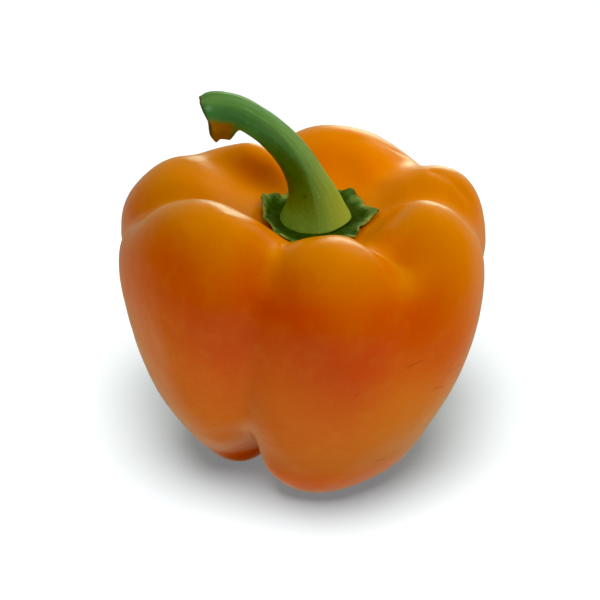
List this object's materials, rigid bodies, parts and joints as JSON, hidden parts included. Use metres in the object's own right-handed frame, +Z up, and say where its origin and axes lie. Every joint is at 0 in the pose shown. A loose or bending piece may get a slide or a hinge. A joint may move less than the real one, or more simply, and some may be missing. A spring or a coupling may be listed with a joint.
{
  "type": "bell pepper",
  "caption": "Ripe orange bell pepper that stands on its lobed base, with a toothed green calyx in the hollow of its shoulders and a curved cut stem.",
  "frame": {"origin": "on the surface that the pepper stands on, under the middle of its bounding box", "axes": "+Z up along the fruit; seen from the front, along +Y, +X is to the right and the stem bends towards -X"},
  "size_m": [0.0892, 0.0868, 0.0956],
  "materials": {
    "skin": "taut waxy skin, glossy, with a slightly duller bloom low on the sides",
    "calyx": "satin leaf with veins and a pale frayed rim",
    "stem": "satin ribbed stalk, yellower at its foot, with a pale cut end"
  },
  "bodies": {
    "root": {"fruit": "skin", "calyx": "calyx", "stem": "stem"}
  },
  "joints": []
}
